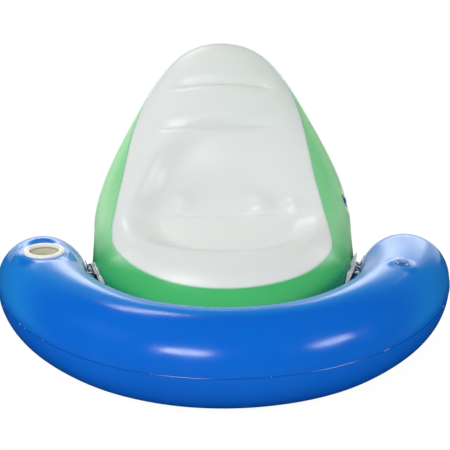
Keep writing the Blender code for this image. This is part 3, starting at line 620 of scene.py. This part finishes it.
edge_line = [seat_point(across, aside, True) for across, aside in edge_places]
edge_run = [0.0]
for near, far in zip(edge_line, edge_line[1:] + edge_line[:1]):
    edge_run.append(edge_run[-1] + (far - near).length)
edge_tree = kdtree.KDTree(len(edge_line))
for i, point in enumerate(edge_line):
    edge_tree.insert(point, i)
edge_tree.balance()


def print_place(point):
    """(length along the print edge, distance from it) of a point of the white sheet."""
    nearest = edge_tree.find(point)[1]
    best = (0.0, 1.0)
    for start in (nearest - 1, nearest):
        near = edge_line[start]
        step = edge_line[(start + 1) % len(edge_line)] - near
        share = min(max((point - near).dot(step) / step.length_squared, 0.0), 1.0)
        gap = (point - near - step * share).length
        if gap < best[1]:
            best = (edge_run[start % len(edge_line)] + step.length * share, gap)
    return best


DOT_PITCH = 0.0036
DOT_BAND = 0.0115
DOT_SIZE = 0.62
DOT_SOFTNESS = 0.12
thicken(seat_top, FILM)
print_edge = seat_top.data.attributes.new("print_edge", "FLOAT_VECTOR", "POINT")
for vertex in seat_top.data.vertices:
    run, gap = print_place(vertex.co)
    print_edge.data[vertex.index].vector = (run, gap, 0.0)
white, tree, shader, tint, place = film_material("white_film", (0.765, 0.80, 0.775), (0.795, 0.82, 0.80),
                                                 0.31, 0.36, 380.0, 0.06, 0.35)
shader.inputs["Specular IOR Level"].default_value = 0.65
where = separate(tree, place)
# Painted shade and painted light through the film: a darker green-grey tint, strongest high on the back and
# towards its right side.
painted_green_shade = calculate(tree, "MULTIPLY", ramp(tree, where["Z"], 0.36, 0.62, 0.0, 0.6),
                         ramp(tree, where["X"], -0.16, 0.22, 0.0, 0.6))
tint = tint_over(tree, shader, tint, (0.60, 0.74, 0.62), painted_green_shade)
edge_place = tree.nodes.new("ShaderNodeAttribute")
edge_place.attribute_name = "print_edge"
cells = tree.nodes.new("ShaderNodeVectorMath")
cells.operation = "SCALE"
cells.inputs["Scale"].default_value = 1.0 / DOT_PITCH
cell = tree.nodes.new("ShaderNodeVectorMath")
cell.operation = "FRACTION"
middle = tree.nodes.new("ShaderNodeVectorMath")
middle.operation = "DISTANCE"
middle.inputs[1].default_value = (0.5, 0.5, 0.0)
tree.links.new(edge_place.outputs["Vector"], cells.inputs[0])
tree.links.new(cells.outputs["Vector"], cell.inputs[0])
tree.links.new(cell.outputs["Vector"], middle.inputs[0])
from_edge = separate(tree, edge_place.outputs["Vector"])["Y"]
dot_size = ramp(tree, from_edge, 0.0, DOT_BAND, DOT_SIZE, 0.0, smooth=False)
inside = calculate(tree, "SUBTRACT", dot_size, middle.outputs["Value"])
dots = ramp(tree, inside, 0.0, DOT_SOFTNESS, smooth=False)
tint_over(tree, shader, tint, (0.11, 0.52, 0.2), dots)
seat_top.data.materials.append(white)
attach(seat_top, "chair")
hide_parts("seat_top_panel")

# The green sheet makes the seat's sides, its back and its underside, and meets the white print. It
# is the same glossy film, and it is welded to the flange that joins the seat to the tube.
RINGS_ABOVE = 16
RINGS_BELOW = 22
UNDER_COLUMNS = 60
LOWEST = math.radians(-66.0)
bpy.ops.object.select_all(action="DESELECT")
bpy.ops.mesh.primitive_grid_add(x_subdivisions=len(edge_places), y_subdivisions=RINGS_ABOVE + RINGS_BELOW,
                                size=2.0)
seat_under = bpy.context.object
seat_under.name = "seat_green_sheet"
for vertex in seat_under.data.vertices:
    column = round((vertex.co.x + 1.0) / 2.0 * len(edge_places)) % len(edge_places)
    ring = round((vertex.co.y + 1.0) / 2.0 * (RINGS_ABOVE + RINGS_BELOW))
    across, aside = edge_places[column]
    if ring == 0:
        vertex.co = seat_point(across, aside, True)
        continue
    if ring <= RINGS_ABOVE:
        latitude = print_latitude(across, aside >= 0.0) * (1.0 - ring / RINGS_ABOVE)
    else:
        latitude = LOWEST * (ring - RINGS_ABOVE) / RINGS_BELOW
    vertex.co = seat_point(*rim_place(latitude, math.atan2(aside, across)), latitude > 0.0)
bpy.ops.object.select_all(action="DESELECT")
bpy.ops.mesh.primitive_grid_add(x_subdivisions=UNDER_COLUMNS, y_subdivisions=len(seat_rows) - 1, size=2.0)
patch = bpy.context.object
for vertex in patch.data.vertices:
    row = round((vertex.co.y + 1.0) / 2.0 * (len(seat_rows) - 1))
    right = rim_place(LOWEST, math.atan2(right_edge[row][1], right_edge[row][0]))
    left = rim_place(LOWEST, math.atan2(left_edge[row][1], left_edge[row][0]))
    share = (vertex.co.x + 1.0) / 2.0
    across = left[0] + (right[0] - left[0]) * share
    aside = left[1] + (right[1] - left[1]) * share
    vertex.co = seat_point(across, aside, False)
join_to(seat_under, [patch])
tidy_mesh(seat_under, 0.00003)
lowest_face = min(seat_under.data.polygons, key=lambda face: face.center.z)
if lowest_face.normal.z > 0.0:
    seat_under.data.flip_normals()
green, tree, shader, tint, place = film_material("green_film", (0.045, 0.47, 0.13), (0.08, 0.53, 0.17),
                                                 0.26, 0.34, 400.0, 0.05, 0.3)
shader.inputs["Specular IOR Level"].default_value = 0.4
where = separate(tree, place)
# Painted sheen: a paler green where the sheet turns away from view, only high up, and weaker towards the
# right.
glancing = turned_away(tree)
painted_green_sheen = ramp(tree, glancing, 0.2, 0.5, 0.5, 1.0)
raised = calculate(tree, "MULTIPLY_ADD", glancing, 0.12, where["Z"])
painted_green_sheen = calculate(tree, "MULTIPLY", painted_green_sheen, ramp(tree, raised, 0.25, 0.30))
painted_green_sheen = calculate(tree, "MULTIPLY", painted_green_sheen, ramp(tree, where["X"], -0.25, 0.25, 1.0, 0.75))
tint = tint_over(tree, shader, tint, (0.46, 0.84, 0.48), painted_green_sheen)
# Painted shade: a darker, deeper green low on the outer sides of the seat, close to the tube.
sideways = calculate(tree, "ABSOLUTE", where["X"])
deep = calculate(tree, "MULTIPLY", ramp(tree, sideways, 0.12, 0.27, 0.0, 0.85),
                 ramp(tree, where["Z"], 0.14, 0.195, 1.0, 0.0))
tint_over(tree, shader, tint, (0.004, 0.34, 0.10), deep)
seat_under.data.materials.append(green)
thicken(seat_under, FILM)
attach(seat_under, "chair")
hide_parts("seat_bottom_panel")

# The cup holder hangs in the left arm: a soft moulded ivory ring, a thin sleeve welded under it and
# a floor disc of clear blue film. The tube's film lies level round the ring.
CUP_MOUTH = 0.037
CUP_FLOOR = 0.034
CUP_DEPTH = 0.085
RING_HEIGHT = 0.0055
WALL_TOP = -0.0058
WALL_STEP = 0.005
ivory = film_material("ivory_moulding", (0.80, 0.80, 0.74), (0.86, 0.855, 0.80),
                      0.32, 0.42, 300.0, 0.08, 0.4)[0]
sleeve_film = film_material("ivory_sleeve", (0.66, 0.64, 0.47), (0.74, 0.72, 0.56),
                            0.34, 0.44, 300.0, 0.1, 0.6)[0]
clear = film_material("clear_vinyl", (0.02, 0.15, 0.50), (0.10, 0.30, 0.66),
                      0.10, 0.18, 300.0, 0.06, 0.4)[0]
shader = clear.node_tree.nodes["Principled BSDF"]
shader.inputs["Transmission Weight"].default_value = 0.3
shader.inputs["IOR"].default_value = 1.5


def turned_piece(name, outline, steps, place, material):
    """A closed outline of (radius, height) points, spun about the place's own Z."""
    bpy.ops.object.select_all(action="DESELECT")
    bpy.ops.mesh.primitive_circle_add(vertices=len(outline), radius=0.01, fill_type="NOTHING")
    piece = bpy.context.object
    piece.name = name
    for vertex, (radius, height) in zip(piece.data.vertices, outline):
        vertex.co = (radius, 0.0, height)
    start_edit(piece)
    bpy.ops.mesh.select_all(action="SELECT")
    bpy.ops.mesh.spin(steps=steps, angle=math.tau, center=(0.0, 0.0, 0.0), axis=(0.0, 0.0, 1.0))
    bpy.ops.object.mode_set(mode="OBJECT")
    tidy_mesh(piece, 0.000005)
    start_edit(piece)
    bpy.ops.mesh.select_all(action="SELECT")
    bpy.ops.mesh.dissolve_degenerate(threshold=0.000005)
    bpy.ops.mesh.normals_make_consistent(inside=False)
    bpy.ops.object.mode_set(mode="OBJECT")
    piece.data.transform(place)
    piece.data.materials.append(material)
    smooth_shade(piece, 50.0)
    return piece


ring_middle = (CUP_MOUTH + CUP_RING_RADIUS) / 2.0
ring_half = (CUP_RING_RADIUS - CUP_MOUTH) / 2.0
outline = [(ring_middle + ring_half * math.copysign(abs(math.cos(turn)) ** 0.85, math.cos(turn)),
            RING_HEIGHT * math.copysign(abs(math.sin(turn)) ** 0.75, math.sin(turn)))
           for turn in (math.tau * i / 36 for i in range(36))]
ring = turned_piece("cup_ring", outline, 112, Matrix.Translation(CUP), ivory)
for vertex in ring.data.vertices:
    vertex.co.z += 0.0004 * noise.noise(vertex.co * 45.0)
wall = [(ring_middle, WALL_TOP), (CUP_FLOOR + 2.0 * FILM, -0.05), (CUP_FLOOR + FILM, -CUP_DEPTH),
        (CUP_FLOOR, -CUP_DEPTH), (CUP_FLOOR + 0.001, -0.05), (CUP_MOUTH - 0.0004, -0.018),
        (CUP_MOUTH, WALL_TOP)]
outline = []
for (radius, height), (far_radius, far_height) in zip(wall, wall[1:] + wall[:1]):
    count = max(1, round(abs(far_height - height) / WALL_STEP))
    outline += [(radius + (far_radius - radius) * i / count, height + (far_height - height) * i / count)
                for i in range(count)]
sleeve = turned_piece("cup_sleeve", outline, 96, Matrix.Translation(CUP), sleeve_film)
for vertex in sleeve.data.vertices:
    deep = min(max((CUP.z - vertex.co.z - 0.008) / 0.02, 0.0), 1.0)
    deep *= min((vertex.co.z - CUP.z + CUP_DEPTH) / 0.01, 1.0)
    round_turn = math.atan2(vertex.co.y - CUP.y, vertex.co.x - CUP.x)
    fold = noise.noise(Vector((math.cos(round_turn) * 2.5, math.sin(round_turn) * 2.5, vertex.co.z * 25.0)))
    off = Vector((vertex.co.x - CUP.x, vertex.co.y - CUP.y, 0.0)).normalized()
    vertex.co += off * fold * 0.0011 * deep
weld = -CUP_DEPTH - 0.0003
outline = [(0.0, weld + FILM), (CUP_FLOOR * 0.6, weld + FILM + 0.0004), (CUP_FLOOR - 0.0006, weld + FILM),
           (CUP_FLOOR - 0.0003, weld), (CUP_FLOOR + FILM, weld), (CUP_FLOOR + FILM, weld - FILM),
           (0.0, weld - FILM)]
floor = turned_piece("cup_floor_disc", outline, 80, Matrix.Translation(CUP), clear)
for piece, node, finish in ((ring, "cup_holder_rim", "ivory_vinyl"),
                            (sleeve, "cup_holder_sleeve", "ivory_vinyl"),
                            (floor, "cup_holder_floor", "clear_vinyl")):
    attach(piece, "chair")
    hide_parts(node)

# Tube and seat are welded together by a loose flange of two films, which stands up crumpled in the
# gap beside the seat: a blue one on the tube, coloured darker as painted shade, and a milky one on the seat,
# greyed as painted shade.
FLAT_SHARE = 0.2
RISE_SHARE = 0.4
FOLD_START = 0.6
FOLD_SHARE = 0.4
RIM_ROUNDING = 0.37
# Painted shade: a much darker copy of the tube's blue film, for its flange and the left tab down in the gap.
painted_shade_blue = film_material("blue_film_painted_shade", (0.0, 0.022, 0.10), (0.0, 0.05, 0.20),
                     0.18, 0.3, 420.0, 0.12, 1.2)[0]
# Painted shade: the seat's milky white film in a greyer, darker copy for its flange in the gap.
milky_painted_shade = film_material("milky_film_painted_shade", (0.50, 0.55, 0.56), (0.66, 0.71, 0.71),
                      0.2, 0.34, 420.0, 0.12, 1.2)[0]


def tube_station(back, side):
    """Middle of the tube and its outward side, a given length before the end of an arm."""
    turn = arm_turn - back / ARM_BEND
    if turn >= FRONT_ANGLE:
        centre, bend = arm_centre, ARM_BEND
    else:
        turn = FRONT_ANGLE - (back - ARM_BEND * ARM_ANGLE) / FRONT_BEND
        centre, bend = front_centre, FRONT_BEND
    outward = Vector((math.sin(turn), -math.cos(turn), 0.0))
    place = centre + outward * bend
    return Vector((place.x * side, place.y, TUBE_LEVEL)), Vector((outward.x * side, outward.y, 0.0))


def tube_side(up):
    """Inset of the tube's inner side at a height above the weld."""
    return math.sqrt(max(TUBE_RADIUS ** 2 - up * up, 0.0))


def seat_side(up):
    """Inset of the seat's side at a height above the weld."""
    round_part = max(1.0 - (up / TUBE_RADIUS) ** 2, 0.0) ** (1.0 / SEAT_FULLNESS)
    return TUBE_RADIUS + WELD_GAP + RIM_ROUNDING * (1.0 - round_part)


def finish_loose_film(piece, thickness, material, node):
    tidy_mesh(piece, 0.00001)
    apply_modifier(piece, "SOLIDIFY", thickness=thickness, offset=0.0, use_rim=True)
    piece.data.materials.append(material)
    smooth_shade(piece, 60.0)
    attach(piece, "chair")
    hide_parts(node)


def weld_flange(name, near, far, lift, tall, fall, by_seat, across, seed, material, node):
    """One film of the flange: flat at the weld, up beside its own bag, and folded over into the gap."""
    half = ARM_BEND * ARM_ANGLE + FRONT_BEND * FRONT_ANGLE
    bpy.ops.object.select_all(action="DESELECT")
    bpy.ops.mesh.primitive_grid_add(x_subdivisions=640, y_subdivisions=24, size=2.0)
    strip = bpy.context.object
    strip.name = name
    for vertex in strip.data.vertices:
        side = 1.0 if vertex.co.x >= 0.0 else -1.0
        back = half * (1.0 - abs(vertex.co.x)) - 0.005
        share = (vertex.co.y + 1.0) / 2.0
        middle, outward = tube_station(back, side)
        standing = 1.0 - ease(fall[0], fall[1], back)
        wavy = noise.noise(Vector((back * 21.0, side * 3.0, seed)))
        height = tall * standing * (1.0 + 0.10 * wavy)
        flat_part = min(share / FLAT_SHARE, 1.0)
        rise_part = min(max((share - FLAT_SHARE) / RISE_SHARE, 0.0), 1.0)
        fold_part = max((share - FOLD_START) / FOLD_SHARE, 0.0)
        up = height * rise_part
        edge = near + (far - near) * flat_part
        beside = seat_side(up) - 0.0022 if by_seat else tube_side(up) + 0.0020
        inset = edge + (beside - edge) * rise_part * standing
        crumple = abs(noise.noise(Vector((back * 34.0, share * 2.6 + seed, side)))) - 0.2
        fine = noise.noise(Vector((back * 95.0, share * 6.0, seed - side)))
        inset += across * fold_part * standing * (1.0 + 0.35 * wavy) + 0.0008 * fine * fold_part * standing
        deep = 0.013 if by_seat else 0.007
        up += (deep * crumple + 0.0012 * fine) * (0.25 * rise_part + 0.75 * fold_part) * standing
        if by_seat and side > 0.0:
            up += 0.018 * fold_part * (1.0 - ease(0.018, 0.034, back))
        point = middle - outward * inset
        point.z = TUBE_LEVEL + lift + max(up, 0.0)
        vertex.co = point
    finish_loose_film(strip, 0.0006, material, node)


weld_flange("tube_weld_flange", near=TUBE_RADIUS + 0.0003, far=TUBE_RADIUS + 0.0040, lift=-0.0006,
            tall=0.040, fall=(0.09, 0.24), by_seat=False, across=0.016, seed=4.0, material=painted_shade_blue,
            node="tube_flange")
weld_flange("seat_weld_flange", near=TUBE_RADIUS + 0.0055, far=TUBE_RADIUS + 0.0102, lift=0.0009,
            tall=0.044, fall=(0.12, 0.34), by_seat=True, across=-0.012, seed=9.0, material=milky_painted_shade,
            node="seat_flange")

# Where the weld ends on each arm, a corner of the blue film is left over as a small crumpled tab.
# It is cut from the tube's own sheet and lies up against the end of the arm.
TAB_LENGTH = 0.034
TAB_FOOT = 0.0033
LEFT_TAB_HEIGHT = 0.050
RIGHT_TAB_HEIGHT = 0.058
for name, side, node in (("left_arm_tab", -1.0, "left_corner_tab"),
                         ("right_arm_tab", 1.0, "right_corner_tab")):
    bpy.ops.object.select_all(action="DESELECT")
    bpy.ops.mesh.primitive_grid_add(x_subdivisions=30, y_subdivisions=24, size=2.0)
    tab = bpy.context.object
    tab.name = name
    for vertex in tab.data.vertices:
        back = TAB_LENGTH * (1.0 - vertex.co.x) / 2.0 - 0.001
        share = (vertex.co.y + 1.0) / 2.0
        middle, outward = tube_station(back, side)
        notch = 0.012 * max(1.0 - abs(back - 0.016) / 0.007, 0.0) if side > 0.0 else 0.0
        tall = RIGHT_TAB_HEIGHT if side > 0.0 else LEFT_TAB_HEIGHT
        up = TAB_FOOT + (tall - notch - 0.35 * back) * share
        turn = math.pi - math.asin(min(up / TUBE_RADIUS, 1.0))
        crumple = noise.noise(Vector((back * 60.0, up * 60.0, side)))
        lift = 0.0018 + 0.004 * share * share + 0.003 * crumple * share
        radius = TUBE_RADIUS + lift
        point = middle + outward * (radius * math.cos(turn))
        point.z = TUBE_LEVEL + up
        vertex.co = point
    # The left tab takes the darker painted-shade copy of the blue, and the right one the tube's own blue.
    finish_loose_film(tab, 0.0007, painted_shade_blue if side < 0.0 else blue, node)

# Two push-in air valves of clear blue vinyl: a flange welded on the film, a stem that slides in its
# collar, a cap on a strap with a pull tab, and a check flap under the stem.
VALVE_FLANGE = 0.019
VALVE_HOLE = 0.0087
COLLAR_RADIUS = 0.0084
COLLAR_BORE = 0.007
COLLAR_FOOT = -0.004
STEM_RADIUS = 0.0067
BORE_RADIUS = 0.004
BARB_RADIUS = 0.0074
BARB_TOP = -0.0163
STEM_FOOT = -0.0177
LIP_RADIUS = 0.0085
LIP_BOTTOM = 0.0018
LIP_TOP = 0.003
FLANGE_TOP = 0.0015
FLAT_RADIUS = 0.020
FLAT_REACH = 0.045
CAP_LEVEL = 0.0033
CAP_THICKNESS = 0.0012
PLUG_DEPTH = 0.0035
HINGE_X = -0.011
STRAP_HALF = 0.002
STRAP_THICKNESS = 0.00084
FLAP_RADIUS = 0.0054
valve_places = {
    "tube_valve": (Matrix(((0.40448, -0.90329, 0.14307, 0.4334), (0.91455, 0.3995, -0.06327, -0.11898),
                           (0.0, 0.15643, 0.98769, 0.23007), (0.0, 0.0, 0.0, 1.0))), tube),
    "seat_valve": (Matrix(((0.09473, -0.36513, 0.92613, 0.32569), (0.99481, 0.0, -0.10176, 0.27169),
                           (0.03715, 0.93096, 0.36323, 0.26168), (0.0, 0.0, 0.0, 1.0))), seat_under),
}


def small_block(low, high, bevel, place):
    bpy.ops.object.select_all(action="DESELECT")
    bpy.ops.mesh.primitive_cube_add(size=1.0)
    piece = bpy.context.object
    for vertex in piece.data.vertices:
        vertex.co = [low[i] + (high[i] - low[i]) * (vertex.co[i] + 0.5) for i in range(3)]
    apply_modifier(piece, "BEVEL", width=bevel, segments=3)
    piece.data.transform(place)
    piece.data.materials.append(clear)
    return piece


for valve, (place, film) in valve_places.items():
    inverse = place.inverted()
    outward = place.col[2].to_3d()
    pulls = []
    for vertex in film.data.vertices:
        local = inverse @ vertex.co
        away = math.hypot(local.x, local.y)
        if away < FLAT_REACH and abs(local.z) < 0.02:
            start = vertex.co + outward * (0.03 - local.z)
            hit, spot = film.ray_cast(start, -outward, distance=0.05)[:2]
            if hit:
                pulls.append((vertex, (inverse @ spot).z * (1.0 - ease(FLAT_RADIUS, FLAT_REACH, away))))
    for vertex, height in pulls:
        vertex.co -= outward * height
    cut_hole(film, place, VALVE_HOLE, 0.012)
    outline = [(COLLAR_BORE, FLANGE_TOP), (0.0074, FLANGE_TOP + 0.0006), (0.0096, FLANGE_TOP + 0.0006),
               (0.0104, FLANGE_TOP), (0.013, FLANGE_TOP - 0.0002), (0.0134, FLANGE_TOP + 0.0002),
               (0.0158, FLANGE_TOP + 0.0002), (0.0162, FLANGE_TOP - 0.0003),
               (VALVE_FLANGE - 0.0006, 0.0009), (VALVE_FLANGE, 0.0005), (VALVE_FLANGE, 0.0003),
               (COLLAR_RADIUS, 0.0003), (COLLAR_RADIUS, COLLAR_FOOT), (COLLAR_BORE, COLLAR_FOOT)]
    base = turned_piece(valve + "_flange", outline, 72, Matrix.Identity(4), clear)
    for vertex in base.data.vertices:
        radius = math.hypot(vertex.co.x, vertex.co.y)
        if radius > 0.0105:
            start = place @ Vector((vertex.co.x, vertex.co.y, 0.02))
            hit, spot = film.ray_cast(start, -outward, distance=0.05)[:2]
            if hit:
                film_height = (inverse @ spot).z
                follow = ease(0.0105, 0.014, radius)
                vertex.co.z += (film_height + 0.0002) * follow
    base.data.transform(place)
    outline = [(BORE_RADIUS, LIP_TOP), (LIP_RADIUS - 0.0003, LIP_TOP), (LIP_RADIUS, LIP_TOP - 0.0003),
               (LIP_RADIUS, LIP_BOTTOM), (STEM_RADIUS, LIP_BOTTOM), (STEM_RADIUS, BARB_TOP),
               (BARB_RADIUS, BARB_TOP), (BARB_RADIUS, STEM_FOOT), (BORE_RADIUS, STEM_FOOT)]
    stem = turned_piece(valve + "_slider", outline, 64, place, clear)
    lug = small_block((HINGE_X, -STRAP_HALF, LIP_BOTTOM), (-0.0076, STRAP_HALF, LIP_TOP), 0.0002, place)
    join_to(stem, [lug])
    smooth_shade(stem, 45.0)
    plug = BORE_RADIUS - 0.0003
    disc = BORE_RADIUS + 0.0025
    outline = [(0.0, CAP_THICKNESS + 0.0003), (0.003, CAP_THICKNESS + 0.0003), (0.0042, CAP_THICKNESS),
               (disc - 0.0004, CAP_THICKNESS), (disc, CAP_THICKNESS - 0.0004), (disc, 0.0), (plug, 0.0),
               (plug - 0.0006, -PLUG_DEPTH), (0.0, -PLUG_DEPTH)]
    cap_place = place @ Matrix.Translation((0.0, 0.0, CAP_LEVEL))
    cap = turned_piece(valve + "_lid", outline, 64, cap_place, clear)
    arms = [small_block((start, -STRAP_HALF, 0.0), (end, STRAP_HALF, STRAP_THICKNESS), 0.0002, cap_place)
            for start, end in ((HINGE_X, -disc + 0.0014), (disc - 0.0014, disc + 0.005))]
    ribs = [small_block((disc + 0.0014 + 0.0012 * i, -0.0017, 0.0006),
                        (disc + 0.002 + 0.0012 * i, 0.0017, 0.0011), 0.00015, cap_place)
            for i in range(3)]
    join_to(cap, arms + ribs)
    smooth_shade(cap, 45.0)
    outline = [(0.0, 0.0), (FLAP_RADIUS, 0.0), (FLAP_RADIUS, -0.0009), (FLAP_RADIUS - 0.0005, -FILM),
               (0.0, -FILM)]
    flap_place = place @ Matrix.Translation((0.0, 0.0, STEM_FOOT - 0.0003))
    flap = turned_piece(valve + "_check", outline, 48, flap_place, clear)
    for piece, part in ((base, "base"), (stem, "stem"), (cap, "cap"), (flap, "flap")):
        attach(piece, "chair" if part == "base" else valve + "_" + part)
        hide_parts(valve + "_" + part)

# Inside the seat, four upright sheets of clear blue film are welded to both big sheets, and hold the
# white one down along the tub's front, the fold and the two creases of the back. Each is a little
# narrower than the seat, so that air passes round it.
WEB_WIDTH_SHARE = 0.96
WEB_CLEARANCE = 0.0035
for node, along in (("seat_front_web", 0.317), ("seat_rear_web", 0.567), ("lumbar_web", 0.819),
                    ("headrest_web", 0.9395)):
    web = nodes[node].copy()
    web.data = nodes[node].data.copy()
    web.name = node.replace("_web", "_inner_sheet")
    bpy.context.scene.collection.objects.link(web)
    tidy_mesh(web, MERGE_GAP)
    lean = seat_spine(along)[2]
    up = Vector((0.0, -math.sin(lean), math.cos(lean)))
    for vertex in web.data.vertices:
        vertex.co.x *= WEB_WIDTH_SHARE
        hit, spot = seat_top.ray_cast(vertex.co + up * 0.08, -up, distance=0.12)[:2]
        if hit:
            vertex.co += up * min((spot - vertex.co).dot(up) - WEB_CLEARANCE, 0.0)
    web.data.materials.clear()
    web.data.materials.append(clear)
    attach(web, "chair")
    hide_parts(node)
